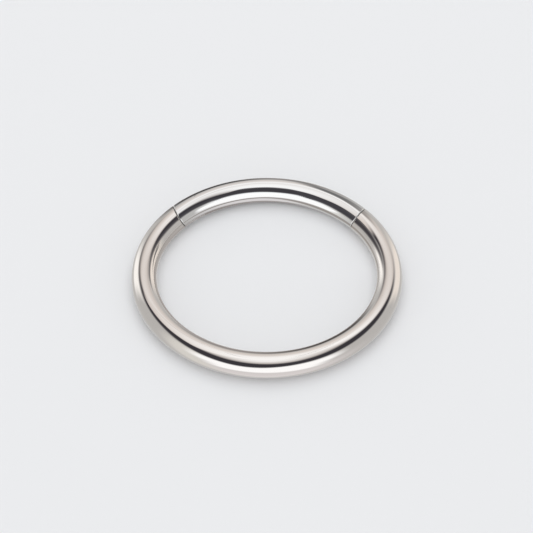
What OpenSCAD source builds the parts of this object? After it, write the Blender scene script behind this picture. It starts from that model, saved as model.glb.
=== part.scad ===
// Segment ring for a body piercing: a round wire bent into a circle, with one
// loose stretch of the same wire that closes it. It lies flat, as on a table.
// The origin is the middle of the ring, on the surface that it lies on. +Z is
// up and the loose segment is centred on +Y, so -Y is the front.

/* [Ring] */
// Thickness of the round wire
wire_d = 1.6; // [1.4:0.1:2.4]
// Clear width inside the ring
inner_d = 14; // [10:0.5:20]

/* [Segment] */
// Angle that the segment takes up, along the middle of the wire
segment_angle = 97; // [70:1:120]
// Gap that shows as a fine line at each seam
seam_gap = 0.06; // [0.04:0.01:0.15]
// How far the left cut is turned from square across the wire
left_turn = 27; // [0:1:30]
// How far the left cut leans, so that the segment is longer on top
left_lean = 25; // [5:1:30]
// How far the right cut is turned from square across the wire
right_turn = 15; // [0:1:30]
// How far the right cut leans
right_lean = 19; // [5:1:30]

/* [Hidden posts] */
// Thickness of the post on each end of the ring body
post_d = 0.7; // [0.5:0.05:0.75]
// How far each post reaches past its seam, into the segment
post_reach = 0.9; // [0.8:0.05:1.2]
// Play between a post and its slot, on each side
post_play = 0.06; // [0.04:0.01:0.1]

/* [Hidden] */

wire_r = wire_d / 2;
ring_r = (inner_d + wire_d) / 2;        // middle of the ring to middle of the wire
half_angle = segment_angle / 2;
slot_w = post_d + 2 * post_play;
post_root = 1.2;                        // length of post buried in the ring body
post_tip = post_reach - post_d / 2;     // middle of the round tip, past the seam
cut_side = 4 * ring_r;                  // a cutting block reaches past the whole ring
wire_facets = 96;
ring_facets = 360;
post_facets = 48;

ring_metal = [0.80, 0.75, 0.72];        // warm polished silver
segment_metal = [0.82, 0.80, 0.79];     // the segment is a little whiter

// The whole closed ring, before it is cut.
module whole_ring() {
    translate([0, 0, wire_r])
        rotate_extrude($fn = ring_facets)
            translate([ring_r, 0])
                circle(r = wire_r, $fn = wire_facets);
}

// Stands its children at a seam: they see +X along the wire, into the segment,
// and +Z up. side is -1 for the left seam and 1 for the right one.
module at_seam(side) {
    rotate([0, 0, -side * half_angle])
        translate([0, ring_r, wire_r])
            rotate([0, 0, side > 0 ? 180 : 0])
                children();
}

// A block that fills everything on the segment's side of one cut. shift moves
// its face along the wire, away from the segment when it is positive.
module beyond_cut(side, turn, lean, shift) {
    at_seam(side)
        rotate([0, 0, side * turn])
            rotate([0, -lean, 0])
                translate([-shift, -cut_side / 2, -cut_side / 2])
                    cube(cut_side);
}

// The back half of the space round the ring, where the segment is.
module back_half() {
    translate([-cut_side / 2, 0, -cut_side / 2])
        cube(cut_side);
}

// The stretch between the two cuts, wider than the segment by grow at each end.
module between_cuts(grow) {
    intersection() {
        back_half();
        beyond_cut(-1, left_turn, left_lean, grow);
        beyond_cut(1, right_turn, right_lean, grow);
    }
}

// A straight post with a round tip, running along the wire at a seam.
module post(side) {
    at_seam(side) {
        translate([-post_root, 0, 0])
            rotate([0, 90, 0])
                cylinder(d = post_d, h = post_root + post_tip, $fn = post_facets);
        translate([post_tip, 0, 0])
            sphere(d = post_d, $fn = post_facets);
    }
}

// The slot that a post stands in: milled from below and round at its inner end,
// so it doesn't show from above and the segment lifts straight off.
module post_slot(side) {
    at_seam(side)
        translate([0, 0, -wire_d])
            linear_extrude(wire_d + slot_w / 2) {
                translate([-wire_d, -slot_w / 2])
                    square([wire_d + post_tip, slot_w]);
                translate([post_tip, 0])
                    circle(d = slot_w, $fn = post_facets);
            }
}

// The long stretch of wire, open at the back, with a post on each end.
module ring_body() {
    color(ring_metal)
        union() {
            difference() {
                whole_ring();
                between_cuts(seam_gap / 2);
            }
            post(-1);
            post(1);
        }
}

// The loose stretch of wire that closes the ring.
module segment() {
    color(segment_metal)
        difference() {
            intersection() {
                whole_ring();
                between_cuts(-seam_gap / 2);
            }
            post_slot(-1);
            post_slot(1);
        }
}

ring_body();
segment();
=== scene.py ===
import bpy
import bmesh
import math
from mathutils import Matrix, Vector


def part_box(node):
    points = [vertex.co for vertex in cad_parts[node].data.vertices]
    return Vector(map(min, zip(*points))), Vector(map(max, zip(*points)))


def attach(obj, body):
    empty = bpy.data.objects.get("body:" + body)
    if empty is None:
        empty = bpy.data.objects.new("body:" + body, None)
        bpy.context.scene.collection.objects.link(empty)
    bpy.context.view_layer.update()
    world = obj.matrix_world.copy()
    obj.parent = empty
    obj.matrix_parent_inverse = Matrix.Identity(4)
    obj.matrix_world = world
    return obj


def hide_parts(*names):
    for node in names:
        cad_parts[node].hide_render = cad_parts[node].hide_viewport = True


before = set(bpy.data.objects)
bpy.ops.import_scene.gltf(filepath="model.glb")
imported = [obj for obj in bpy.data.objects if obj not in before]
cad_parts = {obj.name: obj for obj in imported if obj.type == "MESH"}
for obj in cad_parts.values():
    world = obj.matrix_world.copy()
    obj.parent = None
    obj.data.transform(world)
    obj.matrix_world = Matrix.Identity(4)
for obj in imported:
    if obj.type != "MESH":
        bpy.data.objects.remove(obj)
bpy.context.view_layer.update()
print("frame loaded")

mm = 0.001
scene = bpy.context.scene
scene.view_settings.view_transform = "Standard"

# the ring's own sizes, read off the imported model
ringLow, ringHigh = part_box("ring_body")
wireRadius = (ringHigh.z - ringLow.z) / 2
ringRadius = (ringHigh.x - ringLow.x) / 2 - wireRadius  # middle of the ring to middle of the wire
wireHeight = ringLow.z + wireRadius


# Node helpers

def newTree(material):
    material.use_nodes = True
    tree = material.node_tree
    tree.nodes.clear()
    return tree


def addNode(tree, kind, **settings):
    node = tree.nodes.new(kind)
    for name, value in settings.items():
        setattr(node, name, value)
    return node


def feed(tree, socket, value):
    # a socket is linked, anything else is typed in
    if isinstance(value, bpy.types.NodeSocket):
        tree.links.new(value, socket)
    else:
        socket.default_value = value


def calc(tree, operation, a, b=0.0):
    node = addNode(tree, "ShaderNodeMath", operation=operation)
    feed(tree, node.inputs[0], a)
    feed(tree, node.inputs[1], b)
    return node.outputs[0]


def softStep(tree, value, low, high):
    # 0 below low, 1 above high, smooth between
    node = addNode(tree, "ShaderNodeMapRange", interpolation_type="SMOOTHSTEP")
    feed(tree, node.inputs["Value"], value)
    feed(tree, node.inputs["From Min"], low)
    feed(tree, node.inputs["From Max"], high)
    return node.outputs["Result"]


def blendColours(tree, share, first, second):
    node = addNode(tree, "ShaderNodeMix", data_type="RGBA")
    feed(tree, node.inputs["Factor"], share)
    feed(tree, node.inputs[6], first)
    feed(tree, node.inputs[7], second)
    return node.outputs[2]


def linear(red, green, blue):
    # a screen colour of 0 to 255 as the light that it stands for
    return tuple(((c / 255 + 0.055) / 1.055) ** 2.4 for c in (red, green, blue)) + (1.0,)


# Camera, where the photo was taken from

cameraPlan = {
    "elevation": 45.28,   # degrees above the paper
    "turned": 1.6,        # degrees round the ring from straight in front of it
    "roll": -0.35,
    "distance": 125 * mm,
    "pixelsPerMm": 15.716,   # at the middle of the ring
    "ringAcross": 266.86,    # where the ring's middle falls in the picture, from its left and upper edge
    "ringDown": 273.63,
    "pictureSize": 533,
    "sensor": 36.0,
}


def placeCamera(plan):
    up = math.radians(plan["elevation"])
    turned = math.radians(plan["turned"])
    roll = math.radians(plan["roll"])
    back = Vector((math.sin(turned) * math.cos(up), -math.cos(turned) * math.cos(up), math.sin(up)))
    across = Vector((math.cos(turned), math.sin(turned), 0))
    upright = back.cross(across)
    across, upright = (across * math.cos(roll) + upright * math.sin(roll),
                       upright * math.cos(roll) - across * math.sin(roll))
    pixel = mm / plan["pixelsPerMm"]
    middle = plan["pictureSize"] / 2
    aim = (Vector((0, 0, wireHeight))
           + across * (middle - plan["ringAcross"]) * pixel
           + upright * (plan["ringDown"] - middle) * pixel)
    data = bpy.data.cameras.new("photoCamera")
    data.sensor_width = plan["sensor"]
    data.lens = plan["sensor"] * plan["pixelsPerMm"] * plan["distance"] / mm / plan["pictureSize"]
    data.clip_start = 1 * mm
    data.clip_end = 5
    camera = bpy.data.objects.new("photoCamera", data)
    scene.collection.objects.link(camera)
    turn = Matrix((across, upright, back)).transposed().to_4x4()
    camera.matrix_world = Matrix.Translation(aim + back * plan["distance"]) @ turn
    scene.camera = camera


placeCamera(cameraPlan)
print("camera placed")


# The wire: both stretches are swept between their two slanted cuts

wirePlan = {
    "roundSteps": 128,     # faces round the wire
    "stepAngle": 0.5,      # degrees between sections along the wire
    "segmentEdge": 0.05 * mm,    # edge broken at the segment's cuts
    "ringEdge": 0.015 * mm,      # the ring's own edges are left nearly sharp
    "edgeSteps": 4,
    "closeSteps": 12,      # fine sections next to each edge
    "closeLength": 0.25 * mm,
    "solveSteps": 8,       # rounds to find where a line along the wire meets the cut
    "solveAngle": 1e-5,    # radians tried in each round
}

seamPlan = {
    "segmentAngle": 97.0,  # degrees along the middle of the wire
    "gap": 0.06 * mm,
    # degrees that each cut is turned from square, and that it leans
    "left": {"side": -1, "turn": 27.0, "lean": 25.0},
    "right": {"side": 1, "turn": 15.0, "lean": 19.0},
}


def seamFrame(seam):
    # where the seam crosses the middle of the wire, and the way into the segment
    angle = math.radians(90 - seam["side"] * seamPlan["segmentAngle"] / 2)
    place = Vector((math.cos(angle) * ringRadius, math.sin(angle) * ringRadius, wireHeight))
    along = Vector((-math.sin(angle), math.cos(angle), 0)) * seam["side"]
    return angle, place, along


def cutPlane(seam):
    place, along = seamFrame(seam)[1:]
    turned = Matrix.Rotation(math.radians(seam["side"] * seam["turn"]), 3, "Z") @ along
    lean = math.radians(seam["lean"])
    normal = Vector((turned.x * math.cos(lean), turned.y * math.cos(lean), math.sin(lean)))
    return place, normal


def wirePoint(angle, around, radius):
    out = ringRadius + radius * math.cos(around)
    return Vector((out * math.cos(angle), out * math.sin(angle), wireHeight + radius * math.sin(around)))


def cutAngle(seam, around, radius, shift):
    # the angle at which a line along the wire meets the cut, moved by shift into the segment
    place, normal = cutPlane(seam)
    angle = seamFrame(seam)[0]
    step = wirePlan["solveAngle"]
    for attempt in range(wirePlan["solveSteps"]):
        miss = (wirePoint(angle, around, radius) - place).dot(normal) - shift
        slope = ((wirePoint(angle + step, around, radius) - place).dot(normal) - shift - miss) / step
        angle -= miss / slope
    return angle


def endProfile(edge):
    # how far back from the cut each section stands, and how far its edge is drawn in
    rows = []
    for i in range(wirePlan["edgeSteps"] + 1):
        quarter = math.pi / 2 * i / wirePlan["edgeSteps"]
        rows.append((edge * (1 - math.cos(quarter)), edge * (1 - math.sin(quarter))))
    for i in range(1, wirePlan["closeSteps"] + 1):
        rows.append((edge + wirePlan["closeLength"] * i / wirePlan["closeSteps"], 0.0))
    return rows


def wireSpan(wrap):
    # degrees of wire between the seams, round the front or over the back
    return 360 - seamPlan["segmentAngle"] if wrap else seamPlan["segmentAngle"]


def sweepWire(name, firstSeam, lastSeam, shiftSign, wrap, edge):
    # shiftSign is 1 for the segment, which starts inside its cuts, and -1 for the ring body,
    # and wrap is one whole turn for the piece that runs round the front
    steps = wirePlan["roundSteps"]
    gap = seamPlan["gap"] / 2
    rows = endProfile(edge)
    columns = []
    for k in range(steps):
        around = 2 * math.pi * k / steps
        first = [(cutAngle(firstSeam, around, wireRadius - drawn, shiftSign * (gap + back)), drawn)
                 for back, drawn in rows]
        last = [(cutAngle(lastSeam, around, wireRadius - drawn, shiftSign * (gap + back)) + wrap, drawn)
                for back, drawn in rows]
        span = last[-1][0] - first[-1][0]
        inner = round(wireSpan(wrap) / wirePlan["stepAngle"])
        middle = [(first[-1][0] + span * i / inner, 0.0) for i in range(1, inner)]
        columns.append([wirePoint(angle, around, wireRadius - drawn)
                        for angle, drawn in first + middle + last[::-1]])
    mesh = bpy.data.meshes.new(name)
    shape = bmesh.new()
    grid = [[shape.verts.new(point) for point in column] for column in columns]
    count = len(grid[0])
    for k in range(steps):
        here, there = grid[k], grid[(k + 1) % steps]
        for i in range(count - 1):
            shape.faces.new((here[i], there[i], there[i + 1], here[i + 1]))
    shape.faces.new([grid[k][0] for k in range(steps)])
    shape.faces.new([grid[k][-1] for k in reversed(range(steps))])
    bmesh.ops.recalc_face_normals(shape, faces=shape.faces)
    for face in shape.faces:
        face.smooth = len(face.verts) == 4
    shape.to_mesh(mesh)
    shape.free()
    piece = bpy.data.objects.new(name, mesh)
    scene.collection.objects.link(piece)
    return piece


left, right = seamPlan["left"], seamPlan["right"]
segment = sweepWire("segment_wire", right, left, 1, 0.0, wirePlan["segmentEdge"])
ringBody = sweepWire("ring_wire", left, right, -1, 2 * math.pi, wirePlan["ringEdge"])
print("wire swept")


# Posts on the ring's ends, and the slots milled into the segment's underside that drop over them

postPlan = {
    "radius": 0.35 * mm,
    "root": 0.60 * mm,       # starts this deep inside the wire
    "straight": 0.55 * mm,   # then the round tip
    "around": 64,
    "tipSteps": 12,
}

slotPlan = {
    "radius": 0.41 * mm,
    "reach": 0.55 * mm,      # to the middle of its round end
    "open": 1.6 * mm,        # the cutter runs out this far below and past the cut
    "endSteps": 32,
}


def seamTurn(seam):
    # x along the wire into the segment, z up, from the middle of the wire
    place, along = seamFrame(seam)[1:]
    up = Vector((0, 0, 1))
    return Matrix.Translation(place) @ Matrix((along, up.cross(along), up)).transposed().to_4x4()


def shapeFrom(rows, name, smooth, index):
    # closed shape through rows of points, each row one loop round it, with a flat face at both ends
    shape = bmesh.new()
    grid = [[shape.verts.new(point) for point in row] for row in rows]
    count = len(rows[0])
    for here, there in zip(grid, grid[1:]):
        for k in range(count):
            shape.faces.new((here[k], here[(k + 1) % count], there[(k + 1) % count], there[k]))
    shape.faces.new(grid[0])
    shape.faces.new(grid[-1][::-1])
    bmesh.ops.recalc_face_normals(shape, faces=shape.faces)
    for face in shape.faces:
        face.smooth = smooth
        face.material_index = index
    mesh = bpy.data.meshes.new(name)
    shape.to_mesh(mesh)
    shape.free()
    tool = bpy.data.objects.new(name, mesh)
    scene.collection.objects.link(tool)
    return tool


def turnPost(seam, plan):
    profile = [(-plan["root"], plan["radius"]), (plan["straight"], plan["radius"])]
    for i in range(1, plan["tipSteps"]):
        quarter = math.pi / 2 * i / plan["tipSteps"]
        profile.append((plan["straight"] + plan["radius"] * math.sin(quarter),
                        plan["radius"] * math.cos(quarter)))
    turn = seamTurn(seam)
    rounds = [2 * math.pi * k / plan["around"] for k in range(plan["around"])]
    rows = [[turn @ Vector((x, radius * math.cos(a), radius * math.sin(a))) for a in rounds]
            for x, radius in profile]
    return shapeFrom(rows, "post", True, 0)


def millCutter(seam, plan):
    outline = [(-plan["open"], plan["radius"]), (-plan["open"], -plan["radius"])]
    for i in range(plan["endSteps"] + 1):
        turned = -math.pi / 2 + math.pi * i / plan["endSteps"]
        outline.append((plan["reach"] + plan["radius"] * math.cos(turned),
                        plan["radius"] * math.sin(turned)))
    turn = seamTurn(seam)
    rows = [[turn @ Vector((x, y, z)) for x, y in outline] for z in (-plan["open"], plan["radius"])]
    return shapeFrom(rows, "mill", False, 1)


def combine(piece, tool, operation):
    step = piece.modifiers.new(operation.lower(), "BOOLEAN")
    step.operation = operation
    step.object = tool
    step.solver = "EXACT"
    bpy.context.view_layer.update()
    shaped = piece.evaluated_get(bpy.context.evaluated_depsgraph_get())
    mesh = bpy.data.meshes.new_from_object(shaped)
    piece.modifiers.clear()
    piece.data = mesh
    bpy.data.objects.remove(tool)


# Polished metal, and the duller faces of the cuts and slots, whose dark colour is painted shade for the
# narrow seam gaps

metalPlan = {
    "ring": {"colour": (0.60, 0.57, 0.55, 1), "roughness": 0.05},
    "segment": {"colour": (0.60, 0.59, 0.585, 1), "roughness": 0.05},
    # cut faces and slots: their dark colour is painted shade, standing in for the other piece hiding the
    # bright studio from the narrow seam gaps; the roughness is their duller finish
    "sawnGapShade": {"colour": (0.06, 0.054, 0.052, 1), "roughness": 0.55},
    "sharpFrom": 40,    # degrees between two faces
}


def metalFinish(name, finish):
    material = bpy.data.materials.new(name)
    tree = newTree(material)
    shader = addNode(tree, "ShaderNodeBsdfPrincipled")
    shader.inputs["Metallic"].default_value = 1.0
    shader.inputs["Roughness"].default_value = finish["roughness"]
    shader.inputs["Base Color"].default_value = finish["colour"]
    out = addNode(tree, "ShaderNodeOutputMaterial")
    tree.links.new(shader.outputs[0], out.inputs["Surface"])
    return material


for piece, name in ((ringBody, "ring"), (segment, "segment")):
    piece.data.materials.append(metalFinish(name + "Polish", metalPlan[name]))
    piece.data.materials.append(metalFinish(name + "SawnGapShade", metalPlan["sawnGapShade"]))
    for face in piece.data.polygons:
        face.material_index = 0 if face.use_smooth else 1
for seam in (left, right):
    combine(ringBody, turnPost(seam, postPlan), "UNION")
    combine(segment, millCutter(seam, slotPlan), "DIFFERENCE")
for piece in (ringBody, segment):
    piece.data.set_sharp_from_angle(angle=math.radians(metalPlan["sharpFrom"]))
print("metal polished")


# Studio: white paper below and a softbox over it. The metal alone mirrors a light tent, painted as the
# world, and the cards, boards and shades that stand close to the ring

def mirrored(red, green, blue):
    # the light that the polished ring turns into this screen colour
    light = linear(red, green, blue)
    return tuple(light[i] / metalPlan["ring"]["colour"][i] for i in range(3)) + (1.0,)


studioPlan = {
    "paper": linear(230, 231, 233),
    "paperSize": 0.6,
    # metres, and watts for its power
    "softbox": {"across": 0.26, "along": 0.42, "height": 0.25, "behind": 0.03, "power": 0.375},
    "ambient": 0.80,                        # even sky that lights the paper
    "backdrop": linear(236, 237, 239),      # seen past the edge of the paper
    "wall": mirrored(180, 176, 172),        # grey-beige walls of the light tent
    "wallTop": 31.5,                        # degrees up
    "wallWaves": ((-165, 50, -11), (-88, 42, 5), (-30, 24, -9), (30, 24, 1)),   # turn, half width, rise
    "gap": mirrored(56, 53, 57),            # unlit gap between the walls and the diffuser
    "gapSoft": 6,                           # degrees up and down over which the wall ends
    "diffuser": mirrored(247, 243, 240),
    "diffuserLeft": 0.50,                   # how far it reaches to each side, in heights of the diffuser
    "diffuserRight": 0.54,
    "diffuserFront": 0.66,
    "diffuserSpread": 0.20,                 # wider towards the back
    "diffuserSoft": 0.26,
    "diffuserRise": (30, 44),               # degrees up, where it begins and where it shows in full
    "diffuserMiddle": (0.05, 0.95),         # shares of its reach, from bright middle to edge
    "diffuserEdge": mirrored(192, 184, 179),
    "farSide": mirrored(210, 200, 193),     # far end of the tent, where the diffuser runs down
    "farWidth": (0, 55),                    # degrees to each side, where it begins to fade and ends
    "farRise": (18, 34),
    "farTop": (38, 64),                     # degrees up, from the far end's colour to the diffuser's
    "farDepth": (0.0, 0.5),                 # heights of the diffuser to the back, where the far end begins
}

# cards against the tent's walls: degrees from straight behind the ring, half width, lower and upper edge,
# softness across and up, colour in the metal
cardPlan = {
    "frontGlow": (180, 70, -110, -20, 60, 60, mirrored(212, 205, 203)),
    "leftGlow": (-118, 16, -60, 32, 24, 24, mirrored(210, 205, 198)),
    "wideCard": (180, 56, -4, 26, 22, 20, mirrored(254, 251, 249)),
    "frontCard": (180, 42, -25, 26, 24, 14, mirrored(254, 251, 249)),
    "leftCard": (-49, 13, -12, 27, 17, 15, mirrored(248, 242, 236)),
    "rightCard": (47, 17, -13, 27, 16, 14, mirrored(230, 219, 209)),
}

# darker strips in front of the tent's far end, written the same way
stripPlan = {
    "brownStrip": (1, 11, -14, 16, 16, 12, mirrored(142, 134, 130)),
    "darkStrip": (-12, 9, -30, 12, 12, 14, mirrored(72, 67, 66)),
}

# white sheet hung over the ring's left, close enough to look wider from the right
sheetPlan = {
    "height": 38.4,            # mm, as all of these
    "left": (-33, -26),        # where it begins to show and where it shows in full
    "slant": 0.4,              # how much further left it begins for each mm to the back
    "right": (12, 4),
    "front": (-13, -7),
    "back": (30, 20),
    "fade": (3, 38),           # white over the ring, darker away from it
}

# black card bent round over the ring's hole, seen from inside its bend only. Each row: degrees from
# straight behind, then in mm the heights where it begins, is full, is still full and ends, then its cover
blackCard = {
    "radius": 5.6,
    "colour": mirrored(60, 57, 60),
    "rows": (
        (90, 4.4, 8.8, 17.0, 40, 0.0),
        (106, 4.2, 9.2, 18.5, 46, 1.0),
        (120, 4.5, 10.0, 20.5, 50, 1.0),
        (150, 4.8, 10.6, 22, 52, 1.0),
        (180, 4.2, 10.4, 21.5, 50, 1.0),
        (195, 3.6, 9.8, 19.5, 47, 1.0),
        (210, 3.0, 9.0, 17.5, 43, 1.0),
        (225, 2.2, 7.8, 15.5, 38, 1.0),
        (240, 1.4, 6.6, 13.5, 31, 1.0),
        (250, 1.2, 6.0, 12.5, 28.0, 0.0),
    ),
}

# straight boards, seen from the side that they face. Each row: mm along the board, then as above
boards = {
    "rightBoard": {
        "across": 3.8,
        "lean": 0.18,
        "faces": "left",
        "colour": mirrored(66, 63, 66),
        "rows": (
            (-1, 4.2, 7.2, 9.8, 11.8, 0.0),
            (1, 4.4, 7.4, 10.2, 12.0, 0.8),
            (2, 4.6, 7.8, 10.4, 12.2, 1.0),
            (4, 4.4, 8.2, 10.4, 12.2, 1.0),
            (6, 4.1, 8.8, 10.6, 12.6, 1.0),
            (8, 4.7, 9.6, 11.0, 13.4, 1.0),
            (10.5, 5.5, 10.8, 12.2, 14.8, 0.95),
            (13, 6.2, 11.8, 13.4, 16.5, 0.85),
            (16, 6.9, 12.2, 14.5, 18.0, 0.8),
            (20, 8.4, 12.8, 15.4, 19.0, 0.8),
            (24, 10.0, 13.6, 16.4, 20.5, 0.75),
            (30, 12.0, 16.0, 19.5, 25.0, 0.5),
            (38, 15.0, 20.0, 24.0, 30.0, 0.0),
        ),
    },
    "leftBoard": {
        "across": -3.8,
        "lean": -0.18,
        "faces": "right",
        "colour": mirrored(66, 63, 66),
        "rows": (
            (-3.2, 2.0, 7.0, 14.0, 34.0, 0.0),
            (-1.7, 1.0, 5.2, 11.6, 26.5, 1.0),
            (-0.4, 0.6, 4.2, 9.2, 18.7, 1.0),
            (0.8, 0.4, 3.6, 7.8, 14.7, 1.0),
            (2, 0.0, 2.8, 7.3, 13.0, 1.0),
            (3.5, 0.0, 3.0, 7.3, 12.4, 1.0),
            (5, 0.2, 3.7, 7.5, 12.0, 1.0),
            (7, 0.6, 4.6, 7.4, 12.0, 1.0),
            (9.5, 1.7, 5.8, 7.4, 12.4, 0.95),
            (12, 2.9, 7.0, 8.4, 13.2, 0.85),
            (14.5, 4.2, 8.7, 9.8, 14.6, 0.7),
            (17.5, 5.8, 10.4, 11.6, 16.0, 0.4),
            (22, 7.0, 12.0, 13.0, 18.0, 0.0),
        ),
    },
    "whiteBoard": {
        "across": 0.5,
        "lean": 0,
        "faces": "back",
        "colour": mirrored(253, 249, 246),
        "rows": (
            (-8.5, -10.0, -7.0, 0.0, 2.2, 0.0),
            (-6, -9.0, -6.0, -0.8, 1.3, 0.9),
            (-4, -7.5, -4.8, -0.5, 2.0, 1.0),
            (-2, -5.2, -3.2, 0.8, 3.1, 1.0),
            (0, -3.4, -1.9, 2.0, 4.0, 1.0),
            (2, -3.0, -1.4, 2.2, 4.0, 1.0),
            (4, -2.8, -1.2, 2.4, 4.4, 1.0),
            (6, -2.8, -1.2, 2.7, 4.9, 0.9),
            (8.5, -2.8, -1.2, 3.0, 5.2, 0.0),
        ),
    },
    "backRail": {
        "across": 9.5,
        "lean": 0,
        "faces": "front",
        "colour": mirrored(104, 102, 101),
        "rows": (
            (0.6, 0.7, 1.0, 1.8, 2.8, 0.0),
            (1.8, 0.8, 1.2, 2.2, 3.4, 0.3),
            (2.8, 1.2, 2.2, 3.2, 4.8, 0.7),
            (3.7, 1.9, 2.9, 3.6, 6.0, 1.0),
            (4.6, 2.1, 3.2, 4.2, 6.8, 1.0),
            (5.4, 2.1, 3.3, 5.0, 7.8, 0.95),
            (6.3, 1.8, 3.2, 5.8, 8.4, 0.75),
            (7.2, 1.8, 3.2, 5.8, 8.4, 0.5),
            (8.4, 1.8, 3.2, 5.8, 8.4, 0.0),
        ),
    },
}

# painted shade: dark sheets just over the paper, standing in for the paper's shadow round the ring, which
# the metal mirrors in place of the paper. Each row: degrees from straight behind, radius in mm, cover. The
# widths are where a shade begins, is full, is still full and ends
shadeLift = 0.03

# inside the ring's back
paperShade = {
    "colour": mirrored(142, 134, 128),
    "widths": (-0.6, -0.15, 0.10, 0.40),
    "rows": (
        (-115, 4.8, 0.0),
        (-90, 4.8, 0.8),
        (-60, 4.9, 1.0),
        (-40, 5.4, 1.0),
        (-22, 5.8, 1.0),
        (-5, 5.9, 0.9),
        (5, 6.15, 0.9),
        (12, 6.4, 0.95),
        (22, 6.6, 1.0),
        (37, 6.65, 1.0),
        (52, 6.4, 1.0),
        (66, 6.2, 1.0),
        (82, 5.6, 0.5),
        (105, 5.2, 0.0),
    ),
}

# broad and faint, inside the ring's front
innerShade = {
    "colour": mirrored(150, 142, 137),
    "widths": (-3.0, -1.6, 0.4, 0.9),
    "rows": (
        (60, 5.9, 0.0),
        (90, 5.9, 0.5),
        (135, 5.8, 0.75),
        (180, 5.8, 0.85),
        (225, 5.8, 0.75),
        (270, 5.9, 0.6),
        (300, 6.2, 0.6),
        (325, 6.4, 0.0),
    ),
}

# narrow, right under the segment
wireShade = {
    "colour": mirrored(134, 126, 122),
    "widths": (-0.30, -0.05, 0.25, 0.60),
    "rows": (
        (-85, 6.6, 0.0),
        (-60, 6.8, 0.7),
        (-35, 6.95, 1.0),
        (-15, 7.1, 0.9),
        (0, 7.2, 0.9),
        (15, 7.4, 1.0),
        (35, 7.6, 0.8),
        (60, 7.6, 0.0),
    ),
}


def layPaper(plan):
    mesh = bpy.data.meshes.new("paper")
    half = plan["paperSize"] / 2
    corners = [(-half, -half, 0), (half, -half, 0), (half, half, 0), (-half, half, 0)]
    mesh.from_pydata(corners, [], [(0, 1, 2, 3)])
    paper = bpy.data.objects.new("paper", mesh)
    scene.collection.objects.link(paper)
    material = bpy.data.materials.new("whitePaper")
    tree = newTree(material)
    shader = addNode(tree, "ShaderNodeBsdfPrincipled")
    shader.inputs["Base Color"].default_value = plan["paper"]
    shader.inputs["Roughness"].default_value = 0.9
    shader.inputs["Specular IOR Level"].default_value = 0.1
    out = addNode(tree, "ShaderNodeOutputMaterial")
    tree.links.new(shader.outputs[0], out.inputs["Surface"])
    mesh.materials.append(material)
    paper.visible_glossy = False


layPaper(studioPlan)


def hangSoftbox(plan):
    box = plan["softbox"]
    data = bpy.data.lights.new("softbox", "AREA")
    data.shape = "RECTANGLE"
    data.size = box["across"]
    data.size_y = box["along"]
    data.energy = box["power"]
    light = bpy.data.objects.new("softbox", data)
    light.location = (0, box["behind"], box["height"])
    light.visible_glossy = False
    light.visible_camera = False
    scene.collection.objects.link(light)


hangSoftbox(studioPlan)


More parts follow.
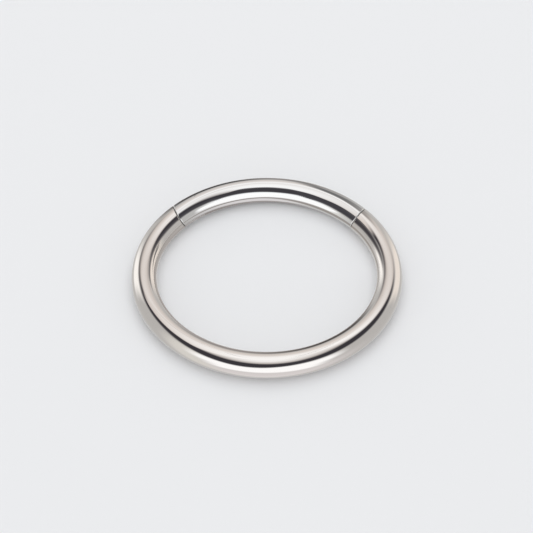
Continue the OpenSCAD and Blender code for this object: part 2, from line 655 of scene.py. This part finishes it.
def hangStudio(plan):
    world = bpy.data.worlds.new("studio")
    scene.world = world
    tree = newTree(world)
    where = addNode(tree, "ShaderNodeTexCoord")
    split = addNode(tree, "ShaderNodeSeparateXYZ")
    tree.links.new(where.outputs["Generated"], split.inputs[0])
    x, y, z = split.outputs
    degrees = 180 / math.pi
    elevation = calc(tree, "MULTIPLY", calc(tree, "ARCSINE", z), degrees)
    azimuth = calc(tree, "MULTIPLY", calc(tree, "ARCTAN2", x, y), degrees)

    def degreesFrom(turn):
        wrapped = calc(tree, "WRAP", calc(tree, "SUBTRACT", azimuth, turn), 180)
        wrapped.node.inputs[2].default_value = -180
        return calc(tree, "ABSOLUTE", wrapped)

    def paintCards(cards, colour):
        for turn, halfWidth, low, high, softAcross, softUp, shade in cards.values():
            half = softAcross / 2
            across = softStep(tree, degreesFrom(turn), halfWidth - half, halfWidth + half)
            half = softUp / 2
            upper = calc(tree, "SUBTRACT", 1.0, softStep(tree, elevation, high - half, high + half))
            tall = calc(tree, "MULTIPLY", softStep(tree, elevation, low - half, low + half), upper)
            cover = calc(tree, "MULTIPLY", calc(tree, "SUBTRACT", 1.0, across), tall)
            colour = blendColours(tree, cover, colour, shade)
        return colour

    colour = paintCards(cardPlan, plan["wall"])

    # the gap above the walls, then the far end of the tent and the diffuser over it
    top = plan["wallTop"]
    for turn, width, rise in plan["wallWaves"]:
        wave = calc(tree, "SUBTRACT", 1.0, softStep(tree, degreesFrom(turn), 0, width))
        top = calc(tree, "ADD", top, calc(tree, "MULTIPLY", wave, rise))
    aboveWall = calc(tree, "SUBTRACT", elevation, top)
    wallEnds = softStep(tree, aboveWall, -plan["gapSoft"], plan["gapSoft"])
    colour = blendColours(tree, wallEnds, colour, plan["gap"])
    turned = calc(tree, "ABSOLUTE", azimuth)
    farSide = calc(tree, "SUBTRACT", 1.0, softStep(tree, turned, *plan["farWidth"]))
    farTop = calc(tree, "MULTIPLY", farSide, softStep(tree, elevation, *plan["farRise"]))
    colour = blendColours(tree, farTop, colour, plan["farSide"])
    height = calc(tree, "MAXIMUM", z, 0.001)
    acrossTent = calc(tree, "DIVIDE", x, height)
    alongTent = calc(tree, "DIVIDE", y, height)
    toLeft = calc(tree, "LESS_THAN", x, 0.0)
    reach = calc(tree, "ADD", plan["diffuserRight"],
                 calc(tree, "MULTIPLY", toLeft, plan["diffuserLeft"] - plan["diffuserRight"]))
    reach = calc(tree, "ADD", reach,
                 calc(tree, "MULTIPLY", calc(tree, "MAXIMUM", alongTent, 0.0), plan["diffuserSpread"]))
    sideShare = calc(tree, "DIVIDE", acrossTent, reach)
    frontShare = calc(tree, "DIVIDE", calc(tree, "MINIMUM", alongTent, 0.0), plan["diffuserFront"])
    distance = calc(tree, "SQRT", calc(tree, "ADD", calc(tree, "MULTIPLY", sideShare, sideShare),
                                       calc(tree, "MULTIPLY", frontShare, frontShare)))
    soft = plan["diffuserSoft"]
    inside = calc(tree, "SUBTRACT", 1.0, softStep(tree, distance, 1 - soft, 1 + soft))
    inside = calc(tree, "MULTIPLY", inside, softStep(tree, elevation, *plan["diffuserRise"]))
    middle = calc(tree, "SUBTRACT", 1.0, softStep(tree, distance, *plan["diffuserMiddle"]))
    lit = blendColours(tree, middle, plan["diffuserEdge"], plan["diffuser"])
    behind = calc(tree, "MULTIPLY", calc(tree, "LESS_THAN", turned, 90.0),
                  softStep(tree, alongTent, *plan["farDepth"]))
    farUp = softStep(tree, elevation, *plan["farTop"])
    lit = blendColours(tree, behind, lit, blendColours(tree, farUp, plan["farSide"], plan["diffuser"]))
    colour = blendColours(tree, inside, colour, lit)
    colour = paintCards(stripPlan, colour)

    shine = addNode(tree, "ShaderNodeBackground")
    feed(tree, shine.inputs["Color"], colour)
    plain = addNode(tree, "ShaderNodeBackground")
    plain.inputs["Color"].default_value = plan["backdrop"]
    soft = addNode(tree, "ShaderNodeBackground")
    soft.inputs["Strength"].default_value = plan["ambient"]
    ray = addNode(tree, "ShaderNodeLightPath")
    diffuse = addNode(tree, "ShaderNodeMixShader")
    tree.links.new(ray.outputs["Is Diffuse Ray"], diffuse.inputs[0])
    tree.links.new(shine.outputs[0], diffuse.inputs[1])
    tree.links.new(soft.outputs[0], diffuse.inputs[2])
    choose = addNode(tree, "ShaderNodeMixShader")
    tree.links.new(ray.outputs["Is Camera Ray"], choose.inputs[0])
    tree.links.new(diffuse.outputs[0], choose.inputs[1])
    tree.links.new(plain.outputs[0], choose.inputs[2])
    out = addNode(tree, "ShaderNodeOutputWorld")
    tree.links.new(choose.outputs[0], out.inputs["Surface"])


hangStudio(studioPlan)


def glowMaterial(name, makeCover, makeColour):
    # gives light only, and is clear where its cover is 0
    material = bpy.data.materials.new(name)
    tree = newTree(material)
    clear = addNode(tree, "ShaderNodeBsdfTransparent")
    glow = addNode(tree, "ShaderNodeEmission")
    feed(tree, glow.inputs["Color"], makeColour(tree))
    mix = addNode(tree, "ShaderNodeMixShader")
    tree.links.new(makeCover(tree), mix.inputs[0])
    tree.links.new(clear.outputs[0], mix.inputs[1])
    tree.links.new(glow.outputs[0], mix.inputs[2])
    out = addNode(tree, "ShaderNodeOutputMaterial")
    tree.links.new(mix.outputs[0], out.inputs["Surface"])
    return material


def showToMetalOnly(name, mesh):
    card = bpy.data.objects.new(name, mesh)
    scene.collection.objects.link(card)
    card.visible_camera = False
    card.visible_diffuse = False
    card.visible_shadow = False


def placeCard(name, rows, strengths, shade):
    # a card through four rows of points, clear along its first and last row and from behind
    covers = (0, 1, 1, 0)
    shape = bmesh.new()
    flat = shape.loops.layers.uv.new("cover")
    grid = [[shape.verts.new(point) for point in row] for row in rows]
    for j in range(len(rows) - 1):
        for i in range(len(strengths) - 1):
            corners = ((j, i), (j, i + 1), (j + 1, i + 1), (j + 1, i))
            face = shape.faces.new([grid[b][a] for b, a in corners])
            for loop, (b, a) in zip(face.loops, corners):
                loop[flat].uv = (strengths[a], covers[b])
    mesh = bpy.data.meshes.new(name)
    shape.to_mesh(mesh)
    shape.free()

    def cover(tree):
        where = addNode(tree, "ShaderNodeUVMap", uv_map="cover")
        split = addNode(tree, "ShaderNodeSeparateXYZ")
        tree.links.new(where.outputs[0], split.inputs[0])
        share = calc(tree, "MULTIPLY", split.outputs[0], softStep(tree, split.outputs[1], 0.0, 1.0))
        side = addNode(tree, "ShaderNodeNewGeometry")
        return calc(tree, "MULTIPLY", share, calc(tree, "SUBTRACT", 1.0, side.outputs["Backfacing"]))

    mesh.materials.append(glowMaterial(name, cover, lambda tree: shade))
    showToMetalOnly(name, mesh)


def smoothThrough(rows, x):
    # values at x on a smooth curve through rows that each start with their own x
    k = max(i for i in range(len(rows) - 1) if rows[i][0] <= x)
    before, first, second, after = rows[max(k - 1, 0)], rows[k], rows[k + 1], rows[min(k + 2, len(rows) - 1)]
    t = (x - first[0]) / (second[0] - first[0])
    values = []
    for a, b, c, d in zip(before[1:], first[1:], second[1:], after[1:]):
        slopeIn, slopeOut = (c - a) / 2, (d - b) / 2
        values.append((2 * t ** 3 - 3 * t ** 2 + 1) * b + (t ** 3 - 2 * t ** 2 + t) * slopeIn
                      + (3 * t ** 2 - 2 * t ** 3) * c + (t ** 3 - t ** 2) * slopeOut)
    return values


def sweepCard(name, plan, stepsPerUnit, pointsAt):
    # pointsAt gives the four points across the card for a place along it and the row's values there
    first, last = plan["rows"][0][0], plan["rows"][-1][0]
    steps = round((last - first) * stepsPerUnit)
    columns = []
    strengths = []
    for i in range(steps + 1):
        along = first + (last - first) * i / steps
        *values, strength = smoothThrough(plan["rows"], min(along, last - 1e-6))
        columns.append([Vector(point) * mm for point in pointsAt(along, values)])
        strengths.append(strength)
    if plan.get("faces") in ("left", "back"):
        columns.reverse()
        strengths.reverse()
    placeCard(name, list(zip(*columns)), strengths, plan["colour"])


def bendCard(name, plan):
    def pointsAt(degrees, heights):
        turn = math.radians(degrees)
        x, y = math.sin(turn) * plan["radius"], math.cos(turn) * plan["radius"]
        return [(x, y, height) for height in heights]

    sweepCard(name, plan, 1 / 2, pointsAt)


def layShade(name, plan):
    def pointsAt(degrees, radii):
        turn = math.radians(degrees)
        return [(math.sin(turn) * (radii[0] + width), math.cos(turn) * (radii[0] + width), shadeLift)
                for width in plan["widths"]]

    sweepCard(name, plan, 1 / 2, pointsAt)


def standBoard(name, plan):
    # along y where it faces left or right, along x where it faces the front or the back
    def pointsAt(along, heights):
        across = plan["across"] + plan["lean"] * along
        x, y = (along, across) if plan["faces"] in ("front", "back") else (across, along)
        return [(x, y, height) for height in heights]

    sweepCard(name, plan, 4, pointsAt)


def hangSheet(plan):
    left, right = plan["left"][0] * mm, plan["right"][0] * mm
    front, back = plan["front"][0] * mm, plan["back"][0] * mm
    height = plan["height"] * mm
    left -= back * plan["slant"]
    mesh = bpy.data.meshes.new("whiteSheet")
    corners = [(left, front, height), (right, front, height), (right, back, height), (left, back, height)]
    mesh.from_pydata(corners, [], [(0, 3, 2, 1)])

    def place(tree):
        where = addNode(tree, "ShaderNodeTexCoord")
        split = addNode(tree, "ShaderNodeSeparateXYZ")
        tree.links.new(where.outputs["Object"], split.inputs[0])
        return split.outputs

    def cover(tree):
        x, y = place(tree)[:2]
        slanted = calc(tree, "ADD", x, calc(tree, "MULTIPLY", y, plan["slant"]))
        edges = [softStep(tree, value, *[v * mm for v in plan[side]])
                 for value, side in ((slanted, "left"), (x, "right"), (y, "front"), (y, "back"))]
        return calc(tree, "MULTIPLY", calc(tree, "MULTIPLY", edges[0], edges[1]),
                    calc(tree, "MULTIPLY", edges[2], edges[3]))

    def colour(tree):
        x, y = place(tree)[:2]
        squares = calc(tree, "ADD", calc(tree, "MULTIPLY", x, x), calc(tree, "MULTIPLY", y, y))
        away = calc(tree, "SQRT", squares)
        near, far = plan["fade"]
        return blendColours(tree, softStep(tree, away, near * mm, far * mm),
                            studioPlan["diffuser"], studioPlan["farSide"])

    mesh.materials.append(glowMaterial("whiteSheet", cover, colour))
    showToMetalOnly("whiteSheet", mesh)


bendCard("blackCard", blackCard)
for name in boards:
    standBoard(name, boards[name])
layShade("paperShade", paperShade)
layShade("wireShade", wireShade)
layShade("innerShade", innerShade)
hangSheet(sheetPlan)
ringBody.visible_glossy = False    # the pieces don't mirror each other
segment.visible_glossy = False
print("studio lit")

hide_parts("ring_body")
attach(ringBody, "ring")
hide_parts("segment")
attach(segment, "segment")
